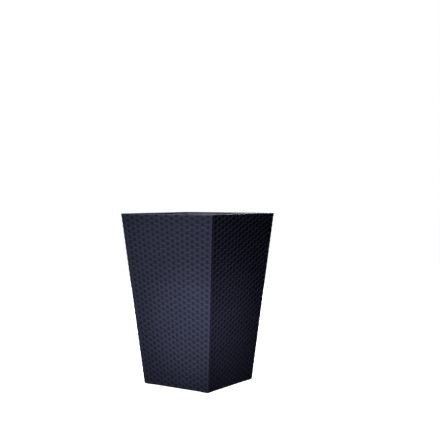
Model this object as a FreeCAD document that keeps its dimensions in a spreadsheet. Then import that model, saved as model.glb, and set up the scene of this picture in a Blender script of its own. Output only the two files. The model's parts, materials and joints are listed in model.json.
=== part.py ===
import FreeCAD, Part
import math
import os
import re
import Sketcher

# A tall square self watering planter: a tapered outer casing with a woven look, a liner that
# hangs in its rim, and inside the liner a water reservoir under a perforated separator with
# wicking cups, a fill shaft with a hinged lid, a float gauge and an overflow standpipe.
# Frame: +Z up, origin on the floor under the middle of the planter. Millimetres.

SIZES = [
    ("rim_width", 370, "outside width of the square rim"),
    ("base_width", 262, "outside width of the square base"),
    ("casing_height", 567, "casing, from its lower edge to the rim"),
    ("foot_proud", 2, "how far the foot pads stand below the casing"),
    ("shell_wall", 4, "wall of the casing"),
    ("corner_round", 3, "radius of the casing's long corners"),
    ("lip_width", 8, "width of the rim seen from above"),
    ("lip_height", 10, "depth of the lip above the ledge"),
    ("ledge_width", 7, "step inside the lip that carries the liner"),
    ("ledge_thick", 4, "thickness of that step"),
    ("gusset_thick", 3, "ribs under the ledge"),
    ("gusset_drop", 22, "height of those ribs"),
    ("floor_rise", 12, "underside of the casing floor above its lower edge"),
    ("floor_thick", 4, "thickness of the casing floor"),
    ("drain_radius", 11, "drain hole in the casing floor"),
    ("pad_width", 30, "foot pads"),
    ("pad_thick", 5, "thickness of a foot pad"),
    ("boss_width", 36, "corner bosses that hold the pads"),
    ("boss_inset", 1, "bosses inside the casing's outer faces"),
    ("flange_gap", 1, "gap between the lip and the liner flange"),
    ("flange_thick", 4, "liner flange"),
    ("flange_round", 6, "corner radius of the flange"),
    ("liner_opening", 320, "inside width of the liner at its flange"),
    ("liner_wall", 3, "liner wall and floor"),
    ("liner_depth", 320, "liner, underside to flange top"),
    ("liner_round", 20, "outside radius of the liner's long corners"),
    ("leg_offset", 166.5, "middle of the planter to the handle legs"),
    ("leg_spread", 84, "distance between a handle's two legs"),
    ("leg_width", 14, "width of a leg"),
    ("leg_thick", 3, "thickness of a leg"),
    ("leg_length", 60, "legs below the flange top"),
    ("barb_width", 22, "foot of a leg, wider than its slot"),
    ("barb_height", 5, "height of that foot"),
    ("slot_gap", 0.8, "clearance round a leg in its slot"),
    ("grip_length", 118, "grip bar of a handle"),
    ("grip_width", 14, "width of the bar"),
    ("grip_thick", 6, "thickness of the bar"),
    ("finger_length", 62, "recess under the bar"),
    ("finger_depth", 2.5, "depth of that recess"),
    ("reservoir_height", 72, "water space under the separator"),
    ("plate_thick", 4, "separator plate"),
    ("plate_gap", 0.8, "clearance between the plate and the liner"),
    ("plate_round", 18, "corner radius of the plate"),
    ("skirt_depth", 10, "rim under the edge of the plate"),
    ("skirt_wall", 2, "thickness of that rim"),
    ("air_radius", 2.5, "aeration holes in the plate"),
    ("air_pitch", 18, "spacing of the aeration holes"),
    ("cup_offset", 62, "middle of the planter to a wicking cup"),
    ("cup_top", 32.4, "outside radius of a cup under the plate"),
    ("cup_foot", 24, "outside radius of a cup at its foot"),
    ("cup_hole", 33, "hole in the plate for a cup"),
    ("cup_rim", 36, "radius of the cup's rim on the plate"),
    ("cup_wall", 2, "wall of a cup"),
    ("cup_slot_width", 3, "water slots in a cup"),
    ("cup_slot_low", 8, "lower end of the slots"),
    ("cup_slot_high", 50, "upper end of the slots"),
    ("pipe_radius", 10, "outside radius of the standpipe"),
    ("pipe_bore", 7.5, "bore of the standpipe"),
    ("pipe_tail", 14, "standpipe below the liner"),
    ("pipe_hole", 10.3, "hole in the liner floor"),
    ("collar_radius", 16, "standpipe collar"),
    ("collar_thick", 3, "thickness of that collar"),
    ("water_height", 54, "overflow edge above the liner floor"),
    ("washer_thick", 2, "rubber washers"),
    ("nut_flats", 30, "standpipe nut across its flats"),
    ("nut_height", 8, "height of the nut"),
    ("nut_bore", 10.1, "bore of the nut"),
    ("cap_radius", 13, "leaf guard on the standpipe"),
    ("cap_height", 14, "height of the leaf guard"),
    ("cap_cover", 6, "how far the guard slips over the pipe"),
    ("shaft_offset", 106, "middle of the planter to the fill shaft"),
    ("shaft_width", 32, "outside width of the fill shaft"),
    ("shaft_wall", 2, "wall of the fill shaft"),
    ("shaft_foot", 12, "gap between the shaft's foot and the liner floor"),
    ("shaft_round", 4, "corner radius of the shaft"),
    ("socket_wall", 1.8, "wall of the sockets on the plate"),
    ("socket_height", 14, "height of the sockets"),
    ("socket_gap", 0.1, "clearance in the sockets"),
    ("funnel_width", 44, "top of the fill shaft"),
    ("funnel_height", 16, "height of the flared top"),
    ("funnel_drop", 9, "top of the funnel below the casing rim"),
    ("lid_thick", 3, "fill lid"),
    ("lid_tab", 6, "finger tab of the lid"),
    ("hinge_out", 4, "lid axis behind the funnel's back face"),
    ("knuckle_radius", 2.8, "hinge knuckles"),
    ("knuckle_length", 16, "knuckle of the lid"),
    ("ear_gap", 0.6, "side play between the knuckles"),
    ("ear_width", 5, "width of an ear on the funnel"),
    ("pin_radius", 1.25, "hinge pin"),
    ("pin_play", 0.05, "running clearance of the pin in the lid"),
    ("gauge_offset", 106, "middle of the planter to the float gauge"),
    ("tube_radius", 8, "outside radius of the gauge tube"),
    ("tube_bore", 6.2, "bore of the gauge tube"),
    ("tube_length", 178, "length of the gauge tube"),
    ("window_radius", 9.8, "outside radius of the clear window"),
    ("window_bore", 8.1, "bore of the window"),
    ("window_low", 12, "how far the window slips over the tube"),
    ("window_top", 59, "window above the tube's end"),
    ("scale_low", 7, "inside radius of the scale strip"),
    ("scale_high", 7.8, "outside radius of the scale strip"),
    ("mark_width", 4, "level marks on the strip"),
    ("mark_proud", 0.5, "half the height of a mark, and how far it stands out"),
    ("cage_radius", 18.5, "outside radius of the float cage"),
    ("cage_wall", 2, "wall of the float cage"),
    ("float_radius", 14.5, "float"),
    ("float_height", 24, "height of the float"),
    ("float_travel", 42, "rise of the float from empty to full"),
    ("rod_radius", 1.5, "rod of the float"),
    ("guide_radius", 2.2, "hole in the plate that guides the rod"),
    ("flag_radius", 5.5, "red indicator on the rod"),
    ("flag_height", 12, "height of the indicator"),
    ("flag_rise", 2, "indicator above the tube's end when empty"),
    ("plug_radius", 10.5, "shank of the floor plug"),
    ("plug_head", 15.5, "head of the floor plug"),
    ("plug_head_thick", 3, "thickness of that head"),
    ("plug_tail", 4, "plug below the casing floor"),
    ("tab_width", 18, "pull tab of the plug"),
    ("tab_height", 16, "height of the tab"),
    ("tab_thick", 4, "thickness of the tab"),
    ("tab_hole", 4.5, "finger hole in the tab"),
]
NAMES = {alias for alias, number, note in SIZES}

# Levels and slopes that several pieces share, written with the sheet's names.
TAPER = "(rim_width - base_width) / casing_height"
PAD_PLACE = "((base_width - boss_width) / 2 - boss_inset)"
RIM_TOP = "foot_proud + casing_height"
LINER_BASE = "foot_proud + casing_height - lip_height + flange_thick - liner_depth"
RESERVOIR_FLOOR = f"{LINER_BASE} + liner_wall"
PLATE_BASE = f"{RESERVOIR_FLOOR} + reservoir_height"
PLATE_TOP = f"{PLATE_BASE} + plate_thick"
FLOOR_TOP = "foot_proud + floor_rise + floor_thick"
FUNNEL_TOP = f"{RIM_TOP} - funnel_drop"
HINGE_Y = "shaft_offset + funnel_width / 2 + hinge_out"
HINGE_Z = f"{FUNNEL_TOP} + lid_thick / 2"

doc = FreeCAD.newDocument("SelfWateringPlanter")
sheet = doc.addObject("Spreadsheet::Sheet", "Sizes")
for row, (alias, number, note) in enumerate(SIZES, start=1):
    sheet.set(f"A{row}", note)
    sheet.set(f"B{row}", str(number))
    sheet.setAlias(f"B{row}", alias)
doc.recompute()

pieces = []


def formula(text):
    """The expression with each of the sheet's names spelt in full."""
    return re.sub(r"[a-z_]+", lambda found: "Sizes." * (found.group() in NAMES) + found.group(), text)


def size(alias):
    """The number in a cell of the sheet."""
    return float(sheet.get(alias))


# --- helpers for bodies, sketches and features ---------------------------------------------------


def make_body(label, x="0", y="0", z="0"):
    body = doc.addObject("PartDesign::Body", label)
    body.Label = label
    for axis, text in zip("xyz", (x, y, z)):
        body.setExpression(f"Placement.Base.{axis}", formula(text))
    pieces.append(body)
    return body


def origin_feature(body, role):
    return next(item for item in body.Origin.OriginFeatures if item.Role == role)


def make_sketch(body, name, plane="XY_Plane", height="0"):
    sketch = body.newObject("Sketcher::SketchObject", f"{body.Label}_{name}")
    sketch.AttachmentSupport = [(origin_feature(body, plane), "")]
    sketch.MapMode = "FlatFace"
    sketch.setExpression("AttachmentOffset.Base.z", formula(height))
    return sketch


def bind_constraint(sketch, kind, places, text):
    """Adds a dimension to the sketch and binds it to an expression."""
    index = sketch.addConstraint(Sketcher.Constraint(kind, *places, 1.0))
    name = f"size_{index}"
    sketch.renameConstraint(index, name)
    sketch.setExpression(f"Constraints.{name}", formula(text))


def pin_point(sketch, geometry, point, x, y):
    bind_constraint(sketch, "DistanceX", (-1, 1, geometry, point), x)
    bind_constraint(sketch, "DistanceY", (-1, 1, geometry, point), y)


def add_polygon(sketch, points):
    """A closed outline through points given as pairs of expressions."""
    count = len(points)
    turn = 2 * math.pi / count
    seeds = [FreeCAD.Vector(math.cos(i * turn), math.sin(i * turn), 0) for i in range(count)]
    lines = [sketch.addGeometry(Part.LineSegment(seeds[i], seeds[(i + 1) % count])) for i in range(count)]
    for i in range(count):
        sketch.addConstraint(Sketcher.Constraint("Coincident", lines[i], 2, lines[(i + 1) % count], 1))
    for line, (x, y) in zip(lines, points):
        pin_point(sketch, line, 1, x, y)


def add_rectangle(sketch, width, depth, x="0", y="0"):
    left, right = f"{x} - ({width}) / 2", f"{x} + ({width}) / 2"
    low, high = f"{y} - ({depth}) / 2", f"{y} + ({depth}) / 2"
    add_polygon(sketch, [(left, low), (right, low), (right, high), (left, high)])


def add_circle(sketch, radius, x="0", y="0"):
    circle = Part.Circle(FreeCAD.Vector(), FreeCAD.Vector(0, 0, 1), 1)
    geometry = sketch.addGeometry(circle)
    bind_constraint(sketch, "Radius", (geometry,), radius)
    pin_point(sketch, geometry, 3, x, y)


def pad(body, sketch, length, midplane=False):
    feature = body.newObject("PartDesign::Pad", f"{sketch.Label}_pad")
    feature.Profile = sketch
    feature.Midplane = midplane
    feature.setExpression("Length", formula(length))
    return feature


def pocket(body, sketch, depth, upward=False, midplane=False):
    """Cuts downward from the sketch, or upward into the solid above it."""
    feature = body.newObject("PartDesign::Pocket", f"{sketch.Label}_pocket")
    feature.Profile = sketch
    feature.Midplane = midplane
    feature.Reversed = upward
    feature.setExpression("Length", formula(depth))
    return feature


def revolve(body, sketch):
    feature = body.newObject("PartDesign::Revolution", f"{sketch.Label}_turned")
    feature.Profile = sketch
    feature.ReferenceAxis = (sketch, ["V_Axis"])
    feature.Angle = 360
    return feature


def polar(body, feature, count):
    pattern = body.newObject("PartDesign::PolarPattern", f"{feature.Label}_round")
    pattern.Originals = [feature]
    pattern.Axis = (origin_feature(body, "Z_Axis"), [""])
    pattern.Angle = 360
    pattern.Occurrences = count
    body.Tip = pattern
    return pattern


def mirrored(body, feature, plane):
    mirror = body.newObject("PartDesign::Mirrored", f"{feature.Label}_mirror")
    mirror.Originals = [feature]
    mirror.MirrorPlane = (origin_feature(body, plane), [""])
    body.Tip = mirror
    return mirror


def fillet(body, radius, chosen):
    """Rounds every edge of the body so far for which chosen(edge) is true."""
    doc.recompute()
    base = body.Tip
    names = [f"Edge{i}" for i, edge in enumerate(base.Shape.Edges, start=1) if chosen(edge)]
    if not names:
        raise RuntimeError(f"{body.Label} has no edge to round by {radius}")
    feature = body.newObject("PartDesign::Fillet", f"{body.Label}_round")
    feature.Base = (base, names)
    feature.setExpression("Radius", formula(radius))
    return feature


def along(edge, axis, share=0.9):
    """True if a straight edge runs mostly along one axis (0, 1 or 2)."""
    ends = [vertex.Point for vertex in edge.Vertexes]
    if len(ends) != 2:
        return False
    step = ends[1] - ends[0]
    return abs(step[axis]) > share * edge.Length


def on_diagonal(edge):
    """True if the middle of an edge is over one of the two diagonals of the square."""
    return abs(abs(edge.CenterOfMass.x) - abs(edge.CenterOfMass.y)) < 0.1


def tapered_square(body, kind, name, low_width, low, high_width, high):
    """A square frustum between two heights, added to or taken from the body."""
    wedge = body.newObject(f"PartDesign::{kind}", f"{body.Label}_{name}")
    wedge.Placement = FreeCAD.Placement(FreeCAD.Vector(), FreeCAD.Rotation(FreeCAD.Vector(1, 0, 0), 90))
    wedge.setExpression("Ymin", formula(low))
    wedge.setExpression("Ymax", formula(high))
    for width, near, far in ((low_width, "min", "max"), (high_width, "2min", "2max")):
        for axis in "XZ":
            wedge.setExpression(axis + near, formula(f"-({width}) / 2"))
            wedge.setExpression(axis + far, formula(f"({width}) / 2"))
    return wedge


def turned(label, profile, x="0", y="0", z="0"):
    """A piece turned about its own vertical axis from a half profile of (radius, height)."""
    body = make_body(label, x, y, z)
    sketch = make_sketch(body, "profile", "XZ_Plane")
    add_polygon(sketch, profile)
    revolve(body, sketch)
    return body


def washer(label, inner, outer, thick, x="0", y="0", z="0"):
    return turned(label, [(inner, "0"), (outer, "0"), (outer, thick), (inner, thick)], x, y, z)


def wall_slots(body, name, width, low, high, reach, count):
    """Upright slots cut from the axis outward through the wall, spaced evenly round it."""
    sketch = make_sketch(body, name, "XZ_Plane")
    add_rectangle(sketch, width, f"{high} - {low}", "0", f"({low} + {high}) / 2")
    polar(body, pocket(body, sketch, reach), count)


# --- the casing and what stays on it -------------------------------------------------------------


def casing_width(height):
    """Outside width of the casing at a height above its lower edge."""
    return f"base_width + {TAPER} * ({height})"


def make_outer_casing():
    body = make_body("outer_casing", z="foot_proud")
    tapered_square(body, "AdditiveWedge", "outside", "base_width", "0", "rim_width", "casing_height")
    fillet(body, "corner_round", lambda edge: along(edge, 2))
    floor = "floor_rise + floor_thick"
    neck = "casing_height - lip_height - ledge_thick"
    tapered_square(body, "SubtractiveWedge", "inside",
                   f"{casing_width(floor)} - 2 * shell_wall", floor,
                   f"{casing_width(neck)} - 2 * shell_wall", neck)
    ledge = make_sketch(body, "ledge_opening", height="casing_height")
    ledge_opening = "rim_width - 2 * lip_width - 2 * ledge_width"
    add_rectangle(ledge, ledge_opening, ledge_opening)
    pocket(body, ledge, "lip_height + ledge_thick")
    lip = make_sketch(body, "lip_opening", height="casing_height")
    add_rectangle(lip, "rim_width - 2 * lip_width", "rim_width - 2 * lip_width")
    pocket(body, lip, "lip_height")
    under = make_sketch(body, "underside")
    add_rectangle(under, "base_width - 2 * shell_wall", "base_width - 2 * shell_wall")
    pocket(body, under, "floor_rise", upward=True)
    boss = make_sketch(body, "foot_boss")
    add_rectangle(boss, "boss_width", "boss_width", PAD_PLACE, PAD_PLACE)
    polar(body, pad(body, boss, "floor_rise + 1"), 4)
    seat = make_sketch(body, "pad_seat")
    add_rectangle(seat, "pad_width", "pad_width", PAD_PLACE, PAD_PLACE)
    polar(body, pocket(body, seat, "pad_thick - foot_proud", upward=True), 4)
    drain = make_sketch(body, "drain", height=floor)
    add_circle(drain, "drain_radius")
    pocket(body, drain, "floor_thick")
    # Ribs under the ledge, two on each side of the casing.
    wall_in = f"({casing_width(neck)}) / 2 - shell_wall + 1"
    foot_in = f"({casing_width(neck + ' - gusset_drop')}) / 2 - shell_wall + 1"
    tip_in = f"({ledge_opening}) / 2 + 1"
    for name, side in (("gusset_near", "-"), ("gusset_far", "")):
        rib = make_sketch(body, name, "XZ_Plane", height=f"{side}rim_width / 5")
        add_polygon(rib, [(foot_in, f"{neck} - gusset_drop"), (wall_in, f"{neck} + 1"),
                          (tip_in, f"{neck} + 1"), (tip_in, f"{neck} - 1")])
        polar(body, pad(body, rib, "gusset_thick", midplane=True), 4)


def make_foot_pads():
    for label, across, deep in (("foot_pad_front_left", "-", "-"), ("foot_pad_front_right", "", "-"),
                                ("foot_pad_back_left", "-", ""), ("foot_pad_back_right", "", "")):
        body = make_body(label, f"{across}{PAD_PLACE}", f"{deep}{PAD_PLACE}")
        sketch = make_sketch(body, "outline")
        add_rectangle(sketch, "pad_width - 2 * socket_gap", "pad_width - 2 * socket_gap")
        pad(body, sketch, "pad_thick")
        fillet(body, "shell_wall", lambda edge: along(edge, 2))


def make_floor_plug():
    seat = "plug_tail + floor_thick + washer_thick"
    body = turned("floor_plug", [
        ("0", "0"), ("plug_radius - 1", "0"), ("plug_radius", "1.5"), ("plug_radius", seat),
        ("plug_head", seat), ("plug_head", f"{seat} + plug_head_thick"),
        ("0", f"{seat} + plug_head_thick")], z="foot_proud + floor_rise - plug_tail")
    tab = make_sketch(body, "pull_tab", "XZ_Plane")
    top = f"{seat} + plug_head_thick"
    add_rectangle(tab, "tab_width", "tab_height + 1", "0", f"{top} + tab_height / 2 - 0.5")
    pad(body, tab, "tab_thick", midplane=True)
    fillet(body, "tab_thick", lambda edge: along(edge, 1)
           and edge.CenterOfMass.z > size("tab_height") + size("plug_tail"))
    hole = make_sketch(body, "finger_hole", "XZ_Plane")
    add_circle(hole, "tab_hole", "0", f"{top} + tab_height - tab_hole - 3")
    pocket(body, hole, "3 * tab_thick", midplane=True)
    washer("floor_plug_seal", "plug_radius + socket_gap", "plug_head - 0.5", "washer_thick", z=FLOOR_TOP)


# --- the liner and what stays on it --------------------------------------------------------------


def liner_width(height):
    """Outside width of the liner at a height above its underside."""
    return f"liner_opening + 2 * liner_wall - {TAPER} * (liner_depth - ({height}))"


def make_liner_pot():
    body = make_body("liner_pot", z=LINER_BASE)
    tapered_square(body, "AdditiveWedge", "outside", liner_width("0"), "0",
                   liner_width("liner_depth"), "liner_depth")
    flange = make_sketch(body, "flange", height="liner_depth - flange_thick")
    flange_width = "rim_width - 2 * lip_width - 2 * flange_gap"
    add_rectangle(flange, flange_width, flange_width)
    pad(body, flange, "flange_thick")
    tapered_square(body, "SubtractiveWedge", "inside",
                   f"{liner_width('liner_wall')} - 2 * liner_wall", "liner_wall",
                   f"{liner_width('liner_depth')} - 2 * liner_wall", "liner_depth")
    fillet(body, "liner_round - liner_wall", lambda edge: along(edge, 2)
           and on_diagonal(edge) and edge.BoundBox.ZMin > 1 and edge.Length > size("liner_depth") / 2)
    fillet(body, "liner_round", lambda edge: along(edge, 2)
           and on_diagonal(edge) and edge.BoundBox.ZMin < 1)
    fillet(body, "flange_round", lambda edge: along(edge, 2)
           and on_diagonal(edge) and edge.Length < 2 * size("flange_thick"))
    hole = make_sketch(body, "standpipe_hole", height="liner_wall")
    add_circle(hole, "pipe_hole")
    pocket(body, hole, "liner_wall")
    slots = make_sketch(body, "leg_slots", height="liner_depth")
    for side in ("-", ""):
        for end in ("-", ""):
            add_rectangle(slots, "leg_thick + 2 * slot_gap", "leg_width + 2 * slot_gap",
                          f"{side}leg_offset", f"{end}leg_spread / 2")
    pocket(body, slots, "flange_thick")


def make_lift_handle(label, side):
    """A flat grip bar on two legs that slide up through the liner's flange."""
    body = make_body(label, f"{side}leg_offset", z=f"{RIM_TOP} - lip_height + flange_thick")
    bar = make_sketch(body, "grip")
    add_rectangle(bar, "grip_width", "grip_length", f"{'' if side else '-'}grip_width / 4")
    pad(body, bar, "grip_thick")
    fillet(body, "grip_thick / 2.5", lambda edge: edge.BoundBox.ZMin > 1)
    recess = make_sketch(body, "finger_recess")
    add_rectangle(recess, "grip_width * 3", "finger_length")
    pocket(body, recess, "finger_depth", upward=True)
    leg = make_sketch(body, "leg")
    add_rectangle(leg, "leg_thick", "leg_width", "0", "leg_spread / 2")
    shank = pad(body, leg, "leg_length")
    shank.Reversed = True
    mirrored(body, shank, "XZ_Plane")
    foot = make_sketch(body, "barb", height="-leg_length")
    add_rectangle(foot, "leg_thick", "barb_width", "0", "leg_spread / 2")
    barb = pad(body, foot, "barb_height")
    mirrored(body, barb, "XZ_Plane")


def make_overflow():
    base = f"{LINER_BASE} - pipe_tail"
    seat = "pipe_tail + liner_wall + washer_thick"
    top = "pipe_tail + liner_wall + water_height"
    turned("overflow_standpipe", [
        ("pipe_bore", "0"), ("pipe_radius", "0"), ("pipe_radius", seat), ("collar_radius", seat),
        ("collar_radius", f"{seat} + collar_thick"), ("pipe_radius", f"{seat} + collar_thick"),
        ("pipe_radius", top), ("pipe_bore", top)], z=base)
    washer("standpipe_seal", "pipe_hole", "collar_radius + 0.5", "washer_thick", z=RESERVOIR_FLOOR)
    nut = make_body("standpipe_nut", z=f"{LINER_BASE} - nut_height")
    hexagon = make_sketch(nut, "hexagon")
    corner = "nut_flats / 2 / cos(30)"
    add_polygon(hexagon, [(f"{corner} * cos({a})", f"{corner} * sin({a})") for a in range(0, 360, 60)])
    pad(nut, hexagon, "nut_height")
    bore = make_sketch(nut, "bore", height="nut_height")
    add_circle(bore, "nut_bore")
    pocket(nut, bore, "nut_height")
    guard = turned("standpipe_guard", [
        ("pipe_radius + socket_gap", "0"), ("cap_radius", "0"), ("cap_radius", "cap_height - 2"),
        ("cap_radius - 2", "cap_height"), ("0", "cap_height"), ("0", "cap_height - 2"),
        ("pipe_radius + socket_gap", "cap_height - 2")],
        z=f"{RESERVOIR_FLOOR} + water_height - cap_cover")
    wall_slots(guard, "slots", "2", "cap_cover", "cap_height - 3", "cap_radius + 1", 8)


# --- the separator and what lifts out with it ----------------------------------------------------

PLATE_WIDTH = f"({liner_width('liner_wall + reservoir_height')} - 2 * liner_wall - 2 * plate_gap)"


def aeration_points():
    """Grid points of the plate that are clear of the cups, the shaft, the gauge and the edge."""
    pitch = size("air_pitch")
    cup, shaft, gauge = size("cup_offset"), size("shaft_offset"), size("gauge_offset")
    reach = int(size("shaft_offset") / pitch)
    for column in range(-reach, reach + 1):
        for row in range(-reach, reach + 1):
            x, y = column * pitch, row * pitch
            clear_of_cup = math.hypot(abs(x) - cup, abs(y) - cup) > size("cup_rim") + 4
            clear_of_shaft = math.hypot(x + shaft, y - shaft) > size("shaft_width")
            clear_of_gauge = math.hypot(x, y - gauge) > size("cage_radius") + 4
            if clear_of_cup and clear_of_shaft and clear_of_gauge:
                yield f"{column} * air_pitch", f"{row} * air_pitch"


def make_separator_plate():
    body = make_body("separator_plate", z=PLATE_BASE)
    outline = make_sketch(body, "outline")
    add_rectangle(outline, PLATE_WIDTH, PLATE_WIDTH)
    pad(body, outline, "plate_thick")
    skirt = make_sketch(body, "skirt")
    skirt_width = f"({PLATE_WIDTH} - {TAPER} * skirt_depth)"
    add_rectangle(skirt, skirt_width, skirt_width)
    lower = pad(body, skirt, "skirt_depth")
    lower.Reversed = True
    hollow = make_sketch(body, "hollow", height="-skirt_depth")
    hollow_width = f"{skirt_width} - 2 * skirt_wall"
    add_rectangle(hollow, hollow_width, hollow_width)
    pocket(body, hollow, "skirt_depth", upward=True)
    doc.recompute()
    inside = body.Shape.BoundBox.XMax - size("skirt_wall") - size("plate_gap") / 2
    fillet(body, "plate_round - skirt_wall", lambda edge: along(edge, 2)
           and edge.CenterOfMass.z < 0 and abs(edge.CenterOfMass.x) < inside)
    fillet(body, "plate_round", lambda edge: along(edge, 2) and on_diagonal(edge)
           and abs(edge.CenterOfMass.x) > inside)
    cups = make_sketch(body, "cup_holes", height="plate_thick")
    for across in ("-", ""):
        for deep in ("-", ""):
            add_circle(cups, "cup_hole", f"{across}cup_offset", f"{deep}cup_offset")
    pocket(body, cups, "plate_thick")
    air = make_sketch(body, "aeration", height="plate_thick")
    for x, y in aeration_points():
        add_circle(air, "air_radius", x, y)
    pocket(body, air, "plate_thick")
    shaft_socket = make_sketch(body, "shaft_socket", height="plate_thick - 1")
    outer = "shaft_width + 2 * socket_gap + 2 * socket_wall"
    add_rectangle(shaft_socket, outer, outer, "-shaft_offset", "shaft_offset")
    pad(body, shaft_socket, "socket_height + 1")
    fillet(body, "shaft_round", lambda edge: along(edge, 2) and edge.BoundBox.ZMax > size("socket_height"))
    shaft_hole = make_sketch(body, "shaft_hole", height="plate_thick + socket_height")
    inner = "shaft_width + 2 * socket_gap"
    add_rectangle(shaft_hole, inner, inner, "-shaft_offset", "shaft_offset")
    pocket(body, shaft_hole, "plate_thick + socket_height")
    gauge_socket = make_sketch(body, "gauge_socket", height="plate_thick - 1")
    add_circle(gauge_socket, "tube_radius + socket_gap + socket_wall", "0", "gauge_offset")
    pad(body, gauge_socket, "socket_height + 1")
    gauge_seat = make_sketch(body, "gauge_seat", height="plate_thick + socket_height")
    add_circle(gauge_seat, "tube_radius + socket_gap", "0", "gauge_offset")
    pocket(body, gauge_seat, "socket_height")
    guide = make_sketch(body, "rod_guide", height="plate_thick")
    add_circle(guide, "guide_radius", "0", "gauge_offset")
    pocket(body, guide, "plate_thick")


def make_wicking_cup(label, across, deep):
    under = "reservoir_height"
    rim = "reservoir_height + plate_thick"
    cup = turned(label, [
        ("0", "0"), ("cup_foot", "0"), ("cup_top", under), ("cup_top", rim), ("cup_rim", rim),
        ("cup_rim", f"{rim} + cup_wall"), ("cup_top - cup_wall", f"{rim} + cup_wall"),
        ("cup_top - cup_wall", under), ("cup_foot - cup_wall", "cup_wall"), ("0", "cup_wall")],
        f"{across}cup_offset", f"{deep}cup_offset", RESERVOIR_FLOOR)
    wall_slots(cup, "slots", "cup_slot_width", "cup_slot_low", "cup_slot_high", "cup_top + 1", 12)
    drips = make_sketch(cup, "foot_hole", height="cup_wall")
    add_circle(drips, "cup_slot_width", "cup_foot / 2")
    polar(cup, pocket(cup, drips, "cup_wall"), 6)


def make_fill_shaft():
    foot = f"{RESERVOIR_FLOOR} + shaft_foot"
    length = f"({FUNNEL_TOP} - ({foot}))"
    neck = f"({length} - funnel_height)"
    body = make_body("fill_shaft", "-shaft_offset", "shaft_offset", foot)
    tube = make_sketch(body, "tube")
    add_rectangle(tube, "shaft_width", "shaft_width")
    pad(body, tube, neck)
    fillet(body, "shaft_round", lambda edge: along(edge, 2))
    tapered_square(body, "AdditiveWedge", "funnel", "shaft_width - 2", neck, "funnel_width", length)
    bore = make_sketch(body, "bore")
    add_rectangle(bore, "shaft_width - 2 * shaft_wall", "shaft_width - 2 * shaft_wall")
    pocket(body, bore, neck, upward=True)
    tapered_square(body, "SubtractiveWedge", "mouth", "shaft_width - 2 * shaft_wall", neck,
                   "funnel_width - 2 * shaft_wall", length)
    # Two ears behind the funnel hold the lid's pin.
    hinge_y = "(funnel_width / 2 + hinge_out)"
    hinge_z = f"({length} + lid_thick / 2)"
    middle = "(knuckle_length / 2 + ear_gap + ear_width / 2)"
    for name, side in (("left", "-"), ("right", "")):
        web = make_sketch(body, f"ear_{name}", "YZ_Plane", height=f"{side}{middle}")
        low = f"({length} - funnel_height / 2)"
        high = f"({length} - 0.5)"
        add_polygon(web, [
            ("funnel_width / 2 - shaft_wall - 1", high), ("funnel_width / 2 - shaft_wall - 1", low),
            (f"{hinge_y} - 1", low), (f"{hinge_y} + knuckle_radius", f"{high} - 2"),
            (f"{hinge_y} + knuckle_radius", hinge_z), (f"{hinge_y} - knuckle_radius", hinge_z),
            (f"{hinge_y} - knuckle_radius", high)])
        pad(body, web, "ear_width", midplane=True)
        eye = make_sketch(body, f"eye_{name}", "YZ_Plane", height=f"{side}{middle}")
        add_circle(eye, "knuckle_radius", hinge_y, hinge_z)
        pad(body, eye, "ear_width", midplane=True)
    drill = make_sketch(body, "pin_hole", "YZ_Plane")
    add_circle(drill, "pin_radius", hinge_y, hinge_z)
    pocket(body, drill, "2 * funnel_width", midplane=True)


def make_fill_lid():
    body = make_body("fill_lid", "-shaft_offset", HINGE_Y, HINGE_Z)
    cover = make_sketch(body, "cover", height="-lid_thick / 2")
    back = "-hinge_out"
    front = "(-hinge_out - funnel_width)"
    half = "funnel_width / 2"
    add_polygon(cover, [
        (half, back), (f"-{half}", back), (f"-{half}", front), ("-lid_tab", front),
        ("-lid_tab", f"{front} - lid_tab"), ("lid_tab", f"{front} - lid_tab"), ("lid_tab", front),
        (half, front)])
    pad(body, cover, "lid_thick")
    fillet(body, "lid_thick / 2", lambda edge: along(edge, 2))
    arm = make_sketch(body, "arm", height="-lid_thick / 2")
    add_rectangle(arm, "knuckle_length", "hinge_out + 2", "0", "-(hinge_out + 2) / 2")
    pad(body, arm, "lid_thick")
    knuckle = make_sketch(body, "knuckle", "YZ_Plane")
    add_circle(knuckle, "knuckle_radius")
    pad(body, knuckle, "knuckle_length", midplane=True)
    drill = make_sketch(body, "pin_hole", "YZ_Plane")
    add_circle(drill, "pin_radius + pin_play")
    pocket(body, drill, "2 * knuckle_length", midplane=True)
    pin = doc.addObject("Part::Cylinder", "lid_pin")
    pin.Label = "lid_pin"
    pin.setExpression("Radius", formula("pin_radius"))
    reach = "(knuckle_length / 2 + ear_gap + ear_width)"
    pin.setExpression("Height", formula(f"2 * {reach}"))
    pin.Placement = FreeCAD.Placement(FreeCAD.Vector(), FreeCAD.Rotation(FreeCAD.Vector(0, 1, 0), 90))
    pin.setExpression("Placement.Base.x", formula(f"-shaft_offset - {reach}"))
    pin.setExpression("Placement.Base.y", formula(HINGE_Y))
    pin.setExpression("Placement.Base.z", formula(HINGE_Z))
    pieces.append(pin)


# --- the float gauge -----------------------------------------------------------------------------


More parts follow.
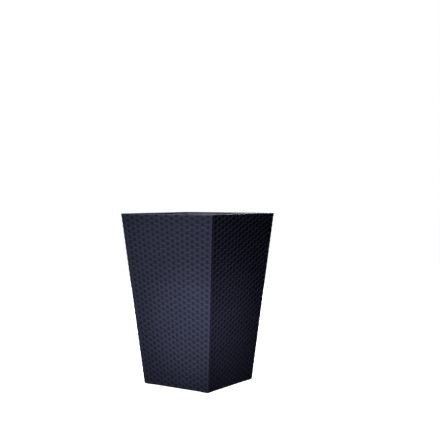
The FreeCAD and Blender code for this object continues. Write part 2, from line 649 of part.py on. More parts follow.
def make_gauge():
    tube_end = f"{PLATE_TOP} + tube_length"
    turned("gauge_tube", [("tube_bore", "0"), ("tube_radius", "0"), ("tube_radius", "tube_length"),
                          ("tube_bore", "tube_length")], "0", "gauge_offset", PLATE_TOP)
    top = "window_low + window_top"
    turned("gauge_window", [
        ("window_bore", "0"), ("window_radius", "0"), ("window_radius", f"{top} - 2"),
        ("window_radius - 2", top), ("0", top), ("0", f"{top} - 2"), ("window_bore", f"{top} - 2")],
        "0", "gauge_offset", f"{tube_end} - window_low")
    cage = turned("float_cage", [
        ("0", "0"), ("cage_radius", "0"), ("cage_radius", "reservoir_height"),
        ("cage_radius - cage_wall", "reservoir_height"), ("cage_radius - cage_wall", "cage_wall"),
        ("0", "cage_wall")], "0", "gauge_offset", RESERVOIR_FLOOR)
    wall_slots(cage, "slots", "cage_wall * 2", "cage_wall * 2", "reservoir_height - 8",
               "cage_radius + 1", 8)
    floats = f"{RESERVOIR_FLOOR} + cage_wall"
    turned("gauge_float", [
        ("0", "0"), ("float_radius - 2", "0"), ("float_radius", "2"),
        ("float_radius", "float_height - 2"), ("float_radius - 2", "float_height"),
        ("0", "float_height")], "0", "gauge_offset", floats)
    flag_base = f"{tube_end} + flag_rise"
    rod = doc.addObject("Part::Cylinder", "gauge_rod")
    rod.Label = "gauge_rod"
    rod.setExpression("Radius", formula("rod_radius"))
    rod.setExpression("Height", formula(f"{flag_base} - ({floats} + float_height)"))
    rod.setExpression("Placement.Base.y", formula("gauge_offset"))
    rod.setExpression("Placement.Base.z", formula(f"{floats} + float_height"))
    pieces.append(rod)
    turned("gauge_indicator", [
        ("0", "0"), ("flag_radius - 1.5", "0"), ("flag_radius", "1.5"),
        ("flag_radius", "flag_height - 1.5"), ("flag_radius - 1.5", "flag_height"),
        ("0", "flag_height")], "0", "gauge_offset", flag_base)


def make_gauge_scale():
    """A strip of a ring behind the indicator, with a level mark at each end of its travel."""
    tube_end = f"{PLATE_TOP} + tube_length"
    body = make_body("gauge_scale", "0", "gauge_offset", tube_end)
    strip = make_sketch(body, "strip")
    add_circle(strip, "scale_high")
    add_circle(strip, "scale_low")
    pad(body, strip, "window_top - 2")
    keep = make_sketch(body, "front_cut", height="window_top - 2")
    chord = "scale_high * cos(50)"
    add_polygon(keep, [("-window_radius", "-window_radius"), ("window_radius", "-window_radius"),
                       ("window_radius", chord), ("-window_radius", chord)])
    pocket(body, keep, "window_top - 2")
    low = "(flag_rise + flag_height / 2)"
    for name, level in (("empty", low), ("full", f"({low} + float_travel)")):
        mark = make_sketch(body, f"mark_{name}", height=f"{level} - mark_proud")
        add_rectangle(mark, "mark_width", "2 * mark_proud", "0", "scale_low")
        pad(body, mark, "2 * mark_proud")


make_outer_casing()
make_foot_pads()
make_floor_plug()
make_liner_pot()
make_lift_handle("lift_handle_left", "-")
make_lift_handle("lift_handle_right", "")
make_overflow()
make_separator_plate()
make_wicking_cup("wicking_cup_front_left", "-", "-")
make_wicking_cup("wicking_cup_front_right", "", "-")
make_wicking_cup("wicking_cup_back_left", "-", "")
make_wicking_cup("wicking_cup_back_right", "", "")
make_fill_shaft()
make_fill_lid()
make_gauge()
make_gauge_scale()
doc.recompute()

for item in doc.Objects:
    if {"Invalid", "Error"} & set(item.State):
        raise RuntimeError(f"{item.Label} failed: {item.State}")
    if item.TypeId in ("PartDesign::Pocket", "PartDesign::SubtractiveWedge"):
        if not item.Shape.Volume < item.BaseFeature.Shape.Volume - 0.01:
            raise RuntimeError(f"{item.Label} cuts nothing")

os.makedirs("parts", exist_ok=True)
for piece in pieces:
    if piece.Shape.isNull() or not piece.Shape.isValid():
        raise RuntimeError(f"{piece.Label} has no valid shape")
    piece.Shape.exportStep(f"parts/{piece.Label}.step")
    print(f"{piece.Label}: {len(piece.Shape.Solids)} solid, {piece.Shape.Volume / 1000:.1f} cm3")
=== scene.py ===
import json
import math

import bpy
import numpy as np
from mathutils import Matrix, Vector


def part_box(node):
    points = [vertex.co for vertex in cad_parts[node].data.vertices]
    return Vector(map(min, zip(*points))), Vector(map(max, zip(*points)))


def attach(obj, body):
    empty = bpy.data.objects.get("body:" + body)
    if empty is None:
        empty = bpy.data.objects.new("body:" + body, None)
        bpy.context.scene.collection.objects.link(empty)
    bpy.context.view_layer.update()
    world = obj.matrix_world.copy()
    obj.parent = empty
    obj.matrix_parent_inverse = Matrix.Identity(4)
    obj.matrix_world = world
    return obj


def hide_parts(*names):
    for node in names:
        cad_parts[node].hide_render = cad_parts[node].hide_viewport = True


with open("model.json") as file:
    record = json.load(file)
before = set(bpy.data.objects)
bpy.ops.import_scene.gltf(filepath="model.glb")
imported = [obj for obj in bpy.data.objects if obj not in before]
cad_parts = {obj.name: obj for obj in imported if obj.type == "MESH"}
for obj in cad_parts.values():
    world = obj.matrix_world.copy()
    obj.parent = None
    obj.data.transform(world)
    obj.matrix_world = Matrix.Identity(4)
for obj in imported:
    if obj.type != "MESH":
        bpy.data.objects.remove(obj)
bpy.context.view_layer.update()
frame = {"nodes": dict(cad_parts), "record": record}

MM = 0.001

# The casing, in metres. Its outline is read from the CAD casing, and these are its other sizes.
LIP_WIDTH = 8 * MM        # the rim, seen from above
LIP_HEIGHT = 10 * MM      # from the rim down to the ledge
LEDGE_WIDTH = 7 * MM
LEDGE_THICK = 4 * MM
WALL = 4 * MM
FLOOR_TOP = 16 * MM       # the floor's upper face above the lower edge
FLOOR_THICK = 4 * MM
DRAIN_RADIUS = 11 * MM
CORNER = 3 * MM           # radius of the long corners
INNER_CORNER = 1 * MM     # radius of the corners inside
RIM_ROUND = 1 * MM        # rounding of the rim's two edges
BOSS_HALF = 18 * MM       # half the width of a foot boss
BOSS_HEIGHT = 13 * MM
BOSS_ROUND = 2 * MM       # radius of a boss's upright edges
SEAT_HALF = 15 * MM       # half the width of the pad's seat in a boss
SEAT_DEPTH = 3 * MM
CHAMFER = 0.4 * MM        # along a gusset's edges
GUSSET_HALF = 1.5 * MM    # half a gusset's thickness
GUSSET_DROP = 22 * MM     # height of a gusset under the ledge
GUSSET_TIP = 1 * MM       # its height at the ledge's inner edge
GUSSET_PLACE = 0.4        # from the middle of a side, as a share of half the rim
BITE = 1 * MM             # how far a gusset runs into the wall and the ledge

# The woven skin that covers the casing.
COLUMNS = 18              # stakes across each side
ROWS = 63                 # strands between the lower edge and the rim bead
BEAD = 3 * MM             # plain edge along the rim
SKIN = 2.6 * MM           # thickness of the skin over the shell
COLUMN_STEPS = 8          # mesh divisions of one column, away from the corners
ROW_STEPS = 8             # mesh divisions of one row
GHOST = 0.03              # a line of points beyond each corner, for the normals, in columns
BACK_POINTS = 6           # points along one edge of the skin's flat back
FIRST_STAKE = 100         # the stakes' numbers follow the strands'
NEXT_SIDE = 1000          # between the numbers of one side and the next
# The mesh lines next to a corner, in columns from it.
EDGE_LINES = (0, 0.03, 0.06, 0.09, 0.12, 0.15, 0.2, 0.27, 0.34, 0.42)

# The weave's relief, in millimetres below the crests unless said otherwise.
WEFT_CROWN = 0.25         # fall of a strand from the middle to the ends of the part that shows
WEFT_DIVE = 1.9           # how much further it dips behind a stake
WEFT_DIVE_SPAN = 0.58, 0.9    # where that dip begins and ends, in columns from the strand's crest
WEFT_ROUND = 0.8          # fall of a strand from its middle to its edges
STAKE_DROP = 1.1          # stakes below the crests of the strands
STAKE_DIVE = 1.1          # how far a stake dips behind a strand
STAKE_LOW = 0.25          # a stake's crest below the middle of the gap it shows in, in rows
STAKE_ROUND = 0.8         # fall of a stake from its middle to its edges
STAKE_HALF = 0.22         # half a stake's width, in columns
STAKE_SHIFT = 0.2         # the first stake's place after the corner, in columns
ROW_SHIFT = 0.1           # the first strand's place above the lower edge, in rows
DEEPEST = 2.3             # the ground between strands and stakes
CORNER_DEPTH = 0.45       # share of the relief's depth that is left along the long corners
CORNER_SPAN = 0.1, 0.5    # where the depth begins to grow and is whole again, in columns

# The camera: place in metres, turn and tilt in radians, and lens on a 36 mm sensor.
CAMERA_PLACE = (1.6771, -2.3123, 0.6236)
CAMERA_YAW = -0.6024
CAMERA_PITCH = -0.0272
CAMERA_LENS = 69.44
SENSOR_WIDTH = 36

# What the lights are aimed at, and the colour of those on the shaded side.
MIDDLE = (0, 0, 0.3)
RIGHT_CORNER = (0.165, -0.11, 0.22)
ABOVE = (0, 0, 0.98)
WHITE = (1.0, 1.0, 1.0)
SIDE_TINT = (1.04, 0.95, 1.0)


def casing_outline():
    """(half the base width, half the rim width, lower edge, rim) of the CAD casing."""
    mesh = frame["nodes"]["outer_casing"].data
    points = np.array([vertex.co for vertex in mesh.vertices])
    low, high = points[:, 2].min(), points[:, 2].max()
    at_base = points[:, 2] < low + 0.1 * MM
    return points[at_base, 0].max(), points[:, 0].max(), low, high


BASE_HALF, RIM_HALF, EDGE_Z, RIM_Z = casing_outline()


def half_width(height):
    """Half the outside width of the casing at a height."""
    return BASE_HALF + (RIM_HALF - BASE_HALF) * (height - EDGE_Z) / (RIM_Z - EDGE_Z)


# --- meshes --------------------------------------------------------------------------------------


def add_casing_piece(mesh, material):
    """Puts a finished mesh into the scene as a piece that stands in for the CAD casing."""
    mesh.materials.append(material)
    piece = bpy.data.objects.new(mesh.name, mesh)
    bpy.context.scene.collection.objects.link(piece)
    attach(piece, "casing")
    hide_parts("outer_casing")


def ring(half, radius, height, steps=6):
    """Points round a rounded square, counted from the front right corner."""
    radius = min(radius, half)
    reach = (half - radius) * math.sqrt(2)
    points = []
    for corner in range(4):
        quarter = math.radians(-45 + 90 * corner)
        for step in range(steps + 1):
            angle = math.radians(-90 + 90 * corner + 90 * step / steps)
            points.append((reach * math.cos(quarter) + radius * math.cos(angle),
                           reach * math.sin(quarter) + radius * math.sin(angle), height))
    return points


def swept(name, profile):
    """A mesh swept round a square from a closed profile of (half width, corner radius, height)."""
    rings = [ring(*place) for place in profile]
    count = len(rings[0])
    points = [point for one in rings for point in one]
    faces = []
    for low in range(len(rings)):
        high = (low + 1) % len(rings)
        for i in range(count):
            j = (i + 1) % count
            faces.append((low * count + i, low * count + j, high * count + j, high * count + i))
    mesh = bpy.data.meshes.new(name)
    mesh.from_pydata(points, [], faces)
    return mesh


def turned(point, quarters):
    """A point turned about the planter's axis by quarter turns."""
    x, y, z = point
    for _ in range(quarters):
        x, y = -y, x
    return x, y, z


def loft(loops):
    """Points and faces of a closed form through loops of points, with flat ends."""
    count = len(loops[0])
    points = [point for loop in loops for point in loop]
    faces = []
    for low in range(0, len(points) - count, count):
        for i in range(count):
            j = (i + 1) % count
            faces.append((low + i, low + j, low + count + j, low + count + i))
    faces.append(tuple(range(count))[::-1])
    faces.append(tuple(range(len(points) - count, len(points))))
    return points, faces


def mesh_of(name, forms):
    """One mesh from several forms, each a list of points and a list of faces."""
    points, faces = [], []
    for form_points, form_faces in forms:
        faces += [tuple(len(points) + i for i in face) for face in form_faces]
        points += form_points
    mesh = bpy.data.meshes.new(name)
    mesh.from_pydata(points, [], faces)
    return mesh


# --- the woven skin ------------------------------------------------------------------------------


def ease(value, low, high):
    """0 below low, 1 above high, and a smooth rise between."""
    t = np.clip((value - low) / (high - low), 0, 1)
    return t * t * (3 - 2 * t)


def weave(u, v):
    """Depth of the weave in metres and which points are stake, at column u and row v."""
    corner = np.minimum(u, COLUMNS - u)
    u, v = u - STAKE_SHIFT, v - ROW_SHIFT
    row = np.floor(v)
    strand = np.full(u.shape, -np.inf)
    for shift in (-1, 0, 1):
        away = np.abs((u + row + shift + 1) % 2 - 1)
        across = np.abs(2 * (v - row - shift) - 1)
        strand = np.maximum(strand, -WEFT_CROWN * away ** 2 - WEFT_DIVE * ease(away, *WEFT_DIVE_SPAN)
                            - WEFT_ROUND * across ** 3)
    column = np.round(u)
    lift = 0.5 - 0.5 * np.cos(math.pi * (v - 0.5 + STAKE_LOW + column))
    across = np.abs(u - column) / STAKE_HALF
    stake = -STAKE_DROP - STAKE_DIVE * (1 - lift) - STAKE_ROUND * across ** 3
    depth = -np.maximum(np.maximum(strand, stake), -DEEPEST) * MM
    return depth * (CORNER_DEPTH + (1 - CORNER_DEPTH) * ease(corner, *CORNER_SPAN)), stake > strand


def column_lines():
    """Column positions of the mesh lines across one side, closer together at the corners."""
    edge = np.array(EDGE_LINES)
    inner = np.arange(0.5, COLUMNS - 0.5 + 1e-6, 1 / COLUMN_STEPS)
    return np.concatenate([edge, inner, COLUMNS - edge[::-1]])


def side_points(u, height, depth):
    """Points of the front side at column u, sunk by depth, and how far along the side they lie."""
    half = half_width(height)
    flat = half - CORNER
    along = (flat + CORNER * math.pi / 4) * (2 * u / COLUMNS - 1)
    turn = np.maximum(np.abs(along) - flat, 0) / CORNER
    x = np.where(turn > 0, np.sign(along) * (flat + (CORNER - depth) * np.sin(turn)), along)
    y = -(flat + (CORNER - depth) * np.cos(turn))
    return np.stack([x, y, height], axis=-1), along


def grid_normals(points):
    """Outward normals of a grid of points, from the slopes between its lines."""
    normals = np.cross(np.gradient(points, axis=1), np.gradient(points, axis=0))
    return normals / np.linalg.norm(normals, axis=-1, keepdims=True)


def back_points():
    """Points of the front side's flat back, along its lower edge and then under the rim bead."""
    turns = np.radians([-45, -22.5, 0, 0, 22.5, 45])
    reach = CORNER - SKIN
    edges = []
    for height in (EDGE_Z, RIM_Z - BEAD):
        flat = half_width(height) - CORNER
        x = np.repeat([-flat, flat], BACK_POINTS // 2) + reach * np.sin(turns)
        y = -(flat + reach * np.cos(turns))
        edges.append(np.stack([x, y, np.full(BACK_POINTS, height)], axis=-1))
    return np.concatenate(edges)


def skin_faces(many, wide):
    """Faces of a side with many by wide points in front: the relief, then the back and the edges."""
    index = np.arange(many * wide).reshape(many, wide)
    quads = np.stack([index[:-1, :-1], index[:-1, 1:], index[1:, 1:], index[1:, :-1]], axis=-1)
    faces = [tuple(quad) for quad in quads.reshape(-1, 4).tolist()]
    low = [many * wide + i for i in range(BACK_POINTS)]
    high = [i + BACK_POINTS for i in low]
    faces += [(low[i + 1], low[i], high[i], high[i + 1]) for i in range(BACK_POINTS - 1)]
    faces.append(tuple(index[0, ::-1].tolist() + low))
    faces.append(tuple(index[-1].tolist() + high[::-1]))
    faces.append(tuple(index[:, 0].tolist() + [high[0], low[0]]))
    faces.append(tuple(index[::-1, -1].tolist() + [low[-1], high[-1]]))
    return faces


def shade_relief(mesh, normals, relief_faces):
    """Smooth shading with the relief's own normals, and flat faces behind it."""
    smooth = np.zeros(len(mesh.polygons), bool)
    smooth[:relief_faces] = True
    mesh.polygons.foreach_set("use_smooth", smooth)
    corners = np.empty(len(mesh.loops), np.int32)
    mesh.loops.foreach_get("vertex_index", corners)
    custom = np.zeros((len(corners), 3))
    custom[:relief_faces * 4] = normals[corners[:relief_faces * 4]]
    mesh.normals_split_custom_set(custom.tolist())


def woven_side(name, side):
    """One side of the casing's skin, from corner to corner: the relief in front, flat behind."""
    lines = column_lines()
    ghosted = np.concatenate([[-GHOST], lines, [COLUMNS + GHOST]])
    u, v = np.meshgrid(ghosted, np.arange(0, ROWS * ROW_STEPS + 1) / ROW_STEPS)
    height = EDGE_Z + (RIM_Z - BEAD - EDGE_Z) * v / ROWS
    depth, is_stake = weave(u, v)
    points, along = side_points(u, height, depth)
    normals = grid_normals(points)
    u, v, height, depth, is_stake, points, along, normals = (
        grid[:, 1:-1] for grid in (u, v, height, depth, is_stake, points, along, normals))
    many, wide = u.shape

    angle = math.radians(90 * side)
    turn = np.array([[math.cos(angle), math.sin(angle), 0], [-math.sin(angle), math.cos(angle), 0],
                     [0, 0, 1]])
    everything = np.concatenate([points.reshape(-1, 3), back_points()]) @ turn
    mesh = bpy.data.meshes.new(name)
    mesh.from_pydata(everything.tolist(), [], skin_faces(many, wide))

    # For the material: place along the strand, place across it, and the strand's number.
    number = np.where(is_stake, np.round(u) + FIRST_STAKE, np.floor(v - 1e-6)) + NEXT_SIDE * side
    strand = np.stack([np.where(is_stake, height, along), np.where(is_stake, along, height), number],
                      axis=-1)
    behind = 2 * BACK_POINTS
    attribute = mesh.attributes.new("strand", "FLOAT_VECTOR", "POINT")
    attribute.data.foreach_set("vector", np.append(strand, np.zeros(3 * behind)))
    # How deep each point lies, 0 at the crests to 1 at the deepest and on the flat back; the
    # material paints shade in the pits from it.
    attribute = mesh.attributes.new("sunk", "FLOAT", "POINT")
    attribute.data.foreach_set("value", np.append(depth / (DEEPEST * MM), np.ones(behind)))

    shade_relief(mesh, normals.reshape(-1, 3) @ turn, (many - 1) * (wide - 1))
    return mesh


# --- materials -----------------------------------------------------------------------------------


class Nodes:
    """Short names for building one material's node tree."""

    def __init__(self, name):
        self.material = bpy.data.materials.new(name)
        self.material.use_nodes = True
        self.tree = self.material.node_tree
        self.shader = self.tree.nodes["Principled BSDF"]

    def add(self, kind, settings=None, **inputs):
        node = self.tree.nodes.new(kind)
        for key, value in (settings or {}).items():
            setattr(node, key, value)
        for socket, value in inputs.items():
            self.feed(node, socket, value)
        return node

    def feed(self, node, socket, value):
        """Links a socket's value to a node's input, or sets the input to a plain value."""
        if isinstance(value, bpy.types.NodeSocket):
            self.tree.links.new(value, node.inputs[socket])
        else:
            node.inputs[socket].default_value = value

    def object_place(self):
        return self.add("ShaderNodeTexCoord").outputs["Object"]

    def attribute(self, name):
        return self.add("ShaderNodeAttribute", {"attribute_name": name})

    def mix(self, amount, first, second):
        """A colour between two others."""
        node = self.add("ShaderNodeMix", {"data_type": "RGBA"})
        for socket, value in ((0, amount), (6, first), (7, second)):
            self.feed(node, socket, value)
        return node.outputs[2]

    def maths(self, kind, first, second):
        node = self.add("ShaderNodeMath", {"operation": kind})
        self.feed(node, 0, first)
        self.feed(node, 1, second)
        return node.outputs[0]

    def spread(self, value, low, high, new_low=0.0, new_high=1.0):
        """A value between low and high, stretched to the new range and held at its ends."""
        node = self.add("ShaderNodeMapRange", Value=value)
        ends = (("From Min", low), ("From Max", high), ("To Min", new_low), ("To Max", new_high))
        for socket, end in ends:
            self.feed(node, socket, end)
        return node.outputs[0]

    def noise(self, place, scale, detail=4.0, roughness=0.55):
        node = self.add("ShaderNodeTexNoise", Vector=place, Scale=scale, Detail=detail,
                        Roughness=roughness)
        return node.outputs["Fac"]

    def stretched(self, place, along, across, other=1.0):
        """A place scaled by its own amount along each axis, for grain that runs one way."""
        node = self.add("ShaderNodeMapping", Vector=place, Scale=(along, across, other))
        return node.outputs[0]

    def bump(self, height, strength, distance):
        node = self.add("ShaderNodeBump", Height=height, Strength=strength, Distance=distance)
        self.feed(self.shader, "Normal", node.outputs[0])


def linear(red, green, blue):
    """A display colour (0 to 255) as the linear colour that shaders take."""
    parts = []
    for value in (red, green, blue):
        value /= 255
        parts.append(value / 12.92 if value <= 0.04045 else ((value + 0.055) / 1.055) ** 2.4)
    return (*parts, 1.0)


def woven_material():
    """Matt resin strands: grain along each strand, a shade of its own, and painted shade that
    darkens it where it dips.
    """
    m = Nodes("woven_resin")
    strand = m.attribute("strand").outputs["Vector"]
    sunk = m.attribute("sunk").outputs["Fac"]
    grain = m.noise(m.stretched(strand, 60, 1400), 1.0, 5.0, 0.6)
    cloud = m.noise(m.stretched(strand, 9, 9, 0.0), 1.0, 3.0)
    number = m.add("ShaderNodeSeparateXYZ", Vector=strand).outputs["Z"]
    own = m.add("ShaderNodeTexWhiteNoise", {"noise_dimensions": "1D"}, W=number).outputs["Value"]
    light = m.mix(m.spread(own, 0, 1), linear(36, 39, 56), linear(40, 43, 61))
    dark = m.mix(m.spread(own, 0, 1), linear(28, 30, 45), linear(32, 34, 49))
    body = m.mix(m.spread(grain, 0.35, 0.65), dark, light)
    shaded = m.mix(m.spread(cloud, 0.4, 0.75, 0.0, 0.25), body, linear(28, 30, 45))
    # Painted shade: the deeper a point lies in the relief, the nearer its colour goes to near black.
    colour = m.mix(m.spread(sunk, 0.28, 0.7, 0.0, 0.9), shaded, linear(10, 10, 18))
    m.feed(m.shader, "Base Color", colour)
    m.feed(m.shader, "Roughness", m.spread(grain, 0.3, 0.7, 0.62, 0.76))
    m.feed(m.shader, "Specular IOR Level", 0.2)
    m.feed(m.shader, "Specular Tint", linear(240, 238, 252))
    fine = m.noise(m.stretched(strand, 2500, 2500), 1.0, 2.0)
    m.bump(m.maths("ADD", grain, m.maths("MULTIPLY", fine, 0.35)), 0.5, 0.12 * MM)
    return m.material


def plastic(name, light, dark, scuffed, roughness):
    """Moulded plastic: clouded colour, a fine moulded grain, and scuffs."""
    m = Nodes(name)
    place = m.object_place()
    cloud = m.noise(place, 14.0)
    fine = m.noise(place, 900.0, 3.0)
    scuff = m.noise(m.stretched(place, 30, 260, 90), 1.0, 6.0, 0.7)
    body = m.mix(m.spread(cloud, 0.35, 0.7), linear(*dark), linear(*light))
    speck = m.mix(m.spread(fine, 0.45, 0.8, 0.0, 0.35), body, linear(*dark))
    mark = m.spread(scuff, 0.62, 0.78, 0.0, 0.35)
    uneven = m.maths("ADD", cloud, mark)
    m.feed(m.shader, "Base Color", m.mix(mark, speck, linear(*scuffed)))
    m.feed(m.shader, "Roughness", m.spread(uneven, 0.3, 1.0, roughness - 0.08, roughness + 0.15))
    m.bump(m.maths("ADD", fine, m.maths("MULTIPLY", scuff, 0.6)), 0.45, 0.05 * MM)
    return m.material


def rubber_material():
    """Dull rubber with a little dust."""
    m = Nodes("rubber")
    place = m.object_place()
    cloud = m.noise(place, 60.0)
    fine = m.noise(place, 1600.0, 2.0)
    dust = m.spread(m.noise(place, 220.0, 5.0), 0.55, 0.75, 0.0, 0.5)
    body = m.mix(m.spread(cloud, 0.3, 0.7), linear(22, 22, 23), linear(38, 38, 39))
    m.feed(m.shader, "Base Color", m.mix(dust, body, linear(72, 70, 66)))
    m.feed(m.shader, "Roughness", m.spread(fine, 0.3, 0.7, 0.7, 0.9))
    m.bump(m.maths("ADD", fine, cloud), 0.5, 0.08 * MM)
    return m.material


def clear_material():
    """Clear plastic, slightly hazed."""
    m = Nodes("clear_plastic")
    haze = m.noise(m.object_place(), 90.0)
    clean, dull = (0.93, 0.96, 0.96, 1), (0.82, 0.87, 0.87, 1)
    m.feed(m.shader, "Base Color", m.mix(m.spread(haze, 0.3, 0.8), clean, dull))
    m.feed(m.shader, "Roughness", m.spread(haze, 0.4, 0.8, 0.04, 0.16))
    m.feed(m.shader, "Transmission Weight", 0.9)
    m.feed(m.shader, "IOR", 1.49)
    m.bump(haze, 0.1, 0.1 * MM)
    return m.material


def steel_material():
    """Stainless wire, drawn along X."""
    m = Nodes("steel")
    drawn = m.noise(m.stretched(m.object_place(), 90, 4000, 4000), 1.0)
    m.feed(m.shader, "Base Color", m.mix(drawn, (0.42, 0.42, 0.43, 1), (0.62, 0.62, 0.63, 1)))
    m.feed(m.shader, "Roughness", m.spread(drawn, 0.3, 0.7, 0.22, 0.42))
    m.feed(m.shader, "Metallic", 1.0)
    m.bump(drawn, 0.3, 0.03 * MM)
    return m.material


# Light, dark and scuffed colour as shown on a display, and roughness.
PLASTICS = {
    "casing_plain": ((62, 65, 81), (48, 51, 66), (62, 65, 81), 0.52),
    "liner_plastic": ((86, 87, 90), (72, 73, 76), (122, 121, 117), 0.62),
    "black_plastic": ((50, 50, 52), (36, 36, 38), (86, 86, 86), 0.48),
    "grey_plastic": ((140, 143, 146), (112, 115, 119), (140, 143, 146), 0.45),
    "white_plastic": ((232, 231, 226), (210, 209, 202), (190, 188, 180), 0.35),
    "red_plastic": ((196, 30, 24), (160, 20, 16), (196, 30, 24), 0.3),
}


def make_materials():
    materials = {name: plastic(name, *look) for name, look in PLASTICS.items()}
    materials["woven_resin"] = woven_material()
    materials["rubber"] = rubber_material()
    materials["clear_plastic"] = clear_material()
    materials["steel"] = steel_material()
    return materials


# --- the casing ----------------------------------------------------------------------------------


def rounded_edge(side, top, corner, steps=4):
    """A quarter round at the rim, from an upright face at half width side to the level at top."""
    points = []
    for i in range(steps + 1):
        angle = math.radians(90 * i / steps)
        points.append((side + (top - side) * (1 - math.cos(angle)), corner,
                       RIM_Z - RIM_ROUND + RIM_ROUND * math.sin(angle)))
    return points


def casing_core():
    """The moulded shell behind the skin: rim bead, lip, ledge, walls, floor and skirt."""
    bead = RIM_Z - BEAD
    lip = RIM_HALF - LIP_WIDTH
    ledge = RIM_Z - LIP_HEIGHT
    under_ledge = ledge - LEDGE_THICK
    floor = EDGE_Z + FLOOR_TOP
    under_floor = floor - FLOOR_THICK
    profile = [(half_width(EDGE_Z) - SKIN, CORNER - SKIN, EDGE_Z),
               (half_width(bead) - SKIN, CORNER - SKIN, bead),
               (half_width(bead), CORNER, bead)]
    profile += rounded_edge(RIM_HALF, RIM_HALF - RIM_ROUND, CORNER)
    profile += rounded_edge(lip, lip + RIM_ROUND, INNER_CORNER)[::-1]
    profile += [(lip, INNER_CORNER, ledge),
                (lip - LEDGE_WIDTH, INNER_CORNER, ledge),
                (lip - LEDGE_WIDTH, INNER_CORNER, under_ledge),
                (half_width(under_ledge) - WALL, INNER_CORNER, under_ledge),
                (half_width(floor) - WALL, INNER_CORNER, floor),
                (DRAIN_RADIUS, DRAIN_RADIUS, floor),
                (DRAIN_RADIUS, DRAIN_RADIUS, under_floor),
                (half_width(EDGE_Z) - WALL, INNER_CORNER, under_floor),
                (half_width(EDGE_Z) - WALL, INNER_CORNER, EDGE_Z)]
    return swept("casing_core", profile)


def casing_boss(x, y):
    """The block under the floor that holds one foot pad in a seat."""
    bevel = 0.5 * MM
    levels = [(SEAT_HALF, EDGE_Z + SEAT_DEPTH), (SEAT_HALF, EDGE_Z), (BOSS_HALF - bevel, EDGE_Z),
              (BOSS_HALF, EDGE_Z + bevel), (BOSS_HALF, EDGE_Z + BOSS_HEIGHT)]
    return loft([[(x + px, y + py, pz) for px, py, pz in ring(half, BOSS_ROUND, height, 3)]
                 for half, height in levels])


def casing_gusset(side, offset):
    """One rib under the ledge, from the wall to the ledge's inner edge."""
    neck = RIM_Z - LIP_HEIGHT - LEDGE_THICK
    foot = neck - GUSSET_DROP
    root = WALL - BITE
    tip = RIM_HALF - LIP_WIDTH - LEDGE_WIDTH + BITE
    flat = GUSSET_HALF - CHAMFER
    loops = []
    for across, inset in ((-GUSSET_HALF, CHAMFER), (-flat, 0), (flat, 0), (GUSSET_HALF, CHAMFER)):
        outline = [(half_width(foot) - root, foot + inset), (half_width(neck) - root, neck + BITE),
                   (tip + inset, neck + BITE), (tip + inset, neck - GUSSET_TIP + inset)]
        loops.append([turned((x, offset + across, z), side) for x, z in outline])
    return loft(loops)


def make_casing(materials):
    """The casing in seven pieces: shell, foot bosses, gussets and the skin's four sides."""
    add_casing_piece(casing_core(), materials["casing_plain"])
    places = ("front_left", "front_right", "back_left", "back_right")
    pads = [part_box(f"foot_pad_{place}") for place in places]
    bosses = [casing_boss((low.x + high.x) / 2, (low.y + high.y) / 2) for low, high in pads]
    add_casing_piece(mesh_of("casing_bosses", bosses), materials["casing_plain"])
    gussets = [casing_gusset(side, offset * RIM_HALF)
               for side in range(4) for offset in (-GUSSET_PLACE, GUSSET_PLACE)]
    add_casing_piece(mesh_of("casing_gussets", gussets), materials["casing_plain"])
    for side, name in enumerate(("front", "right", "back", "left")):
        add_casing_piece(woven_side(f"woven_side_{name}", side), materials["woven_resin"])


def dress_nodes(materials):
    """Gives each CAD node the material that its slot in the record names."""
    slots = {part["node"]: part["material_slot"] for part in frame["record"]["subparts"]}
    for name, node in frame["nodes"].items():
        node.data.materials.clear()
        node.data.materials.append(materials[slots[name]])


# --- camera, light and floor ---------------------------------------------------------------------


def place_item(name, data, place):
    """An object made from camera or light data, at a place in the scene."""
    item = bpy.data.objects.new(name, data)
    bpy.context.scene.collection.objects.link(item)
    item.location = place
    return item


def face(item, direction):
    item.rotation_euler = direction.to_track_quat("-Z", "Y").to_euler()


def make_camera():
    """A long lens in front of the planter and to its right, almost level with the rim."""
    data = bpy.data.cameras.new("camera")
    data.sensor_width = SENSOR_WIDTH
    data.lens = CAMERA_LENS
    camera = place_item("camera", data, CAMERA_PLACE)
    face(camera, Vector((math.sin(CAMERA_YAW) * math.cos(CAMERA_PITCH),
                         math.cos(CAMERA_YAW) * math.cos(CAMERA_PITCH), math.sin(CAMERA_PITCH))))
    bpy.context.scene.camera = camera


def area_light(name, place, target, width, height, power):
    data = bpy.data.lights.new(name, "AREA")
    data.shape = "RECTANGLE"
    data.size, data.size_y, data.energy = width, height, power
    light = place_item(name, data, place)
    face(light, Vector(target) - light.location)


def spot_light(name, place, target, power, degrees, blend, softness, colour=WHITE):
    data = bpy.data.lights.new(name, "SPOT")
    data.color, data.energy = colour, power
    data.spot_size, data.spot_blend, data.shadow_soft_size = math.radians(degrees), blend, softness
    light = place_item(name, data, place)
    face(light, Vector(target) - light.location)


def make_world():
    """A white surround that the camera sees and that lights nothing."""
    world = bpy.data.worlds.new("studio")
    world.use_nodes = True
    background = world.node_tree.nodes["Background"]
    background.inputs["Color"].default_value = (1.0, 1.0, 1.0, 1.0)
    background.inputs["Strength"].default_value = 1.0
    bpy.context.scene.view_settings.view_transform = "Standard"
    bpy.context.scene.world = world
    world.cycles_visibility.diffuse = False
    world.cycles_visibility.glossy = False


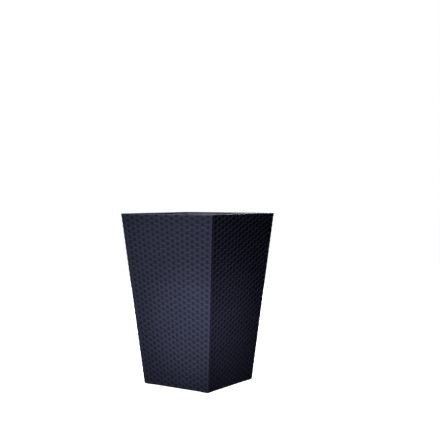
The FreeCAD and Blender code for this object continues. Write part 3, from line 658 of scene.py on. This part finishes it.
def make_lights():
    """Broad pools on the front, weaker ones on the shaded side, and fill from behind and above."""
    spot_light("key", (0.8, -2.6, 1.5), (0.05, -0.16, 0.36), 520, 19, 1.0, 0.1)
    spot_light("key_corner", (0.15, -2.6, 0.8), (0.16, -0.16, 0.25), 85, 9.5, 0.8, 0.12)
    spot_light("key_low", (0.3, -2.6, 0.5), (0.08, -0.15, 0.22), 94, 8.2, 0.35, 0.05)
    spot_light("side", (1.9, -1.0, 1.8), RIGHT_CORNER, 66, 9, 0.8, 0.12, SIDE_TINT)
    spot_light("side_level", (2.4, -1.0, 0.3), RIGHT_CORNER, 82, 9, 0.8, 0.12, SIDE_TINT)
    spot_light("side_low", (2.4, -1.3, 0.5), (0.15, -0.10, 0.23), 11, 8.6, 0.4, 0.05, SIDE_TINT)
    area_light("overhead", (0.2, -0.2, 2.8), MIDDLE, 0.8, 0.8, 25)
    spot_light("upper_front", (0.9, -2.5, 1.9), ABOVE, 260, 15, 0.4, 0.15)
    spot_light("upper_right", (2.5, -0.9, 1.9), ABOVE, 140, 15, 0.4, 0.15)
    area_light("left", (-2.6, 0.6, 1.2), MIDDLE, 1.2, 1.6, 60)
    area_light("back", (-0.9, 2.8, 1.2), MIDDLE, 1.2, 1.6, 60)


def make_floor():
    """A plain white floor that takes no shadow and lights nothing."""
    bpy.ops.mesh.primitive_plane_add(size=40)
    floor = bpy.context.object
    floor.name = "floor"
    floor.visible_diffuse = False
    floor.visible_glossy = False
    floor.visible_shadow = False
    m = Nodes("floor")
    cloud = m.noise(m.object_place(), 3.0)
    m.feed(m.shader, "Base Color", m.mix(cloud, (0.9, 0.9, 0.9, 1), (0.93, 0.93, 0.93, 1)))
    m.feed(m.shader, "Roughness", 0.9)
    m.feed(m.shader, "Emission Color", (1, 1, 1, 1))
    m.feed(m.shader, "Emission Strength", 1.0)
    floor.data.materials.append(m.material)


# --- the scene -----------------------------------------------------------------------------------

make_camera()
make_world()
make_lights()
make_floor()
all_materials = make_materials()
make_casing(all_materials)
dress_nodes(all_materials)
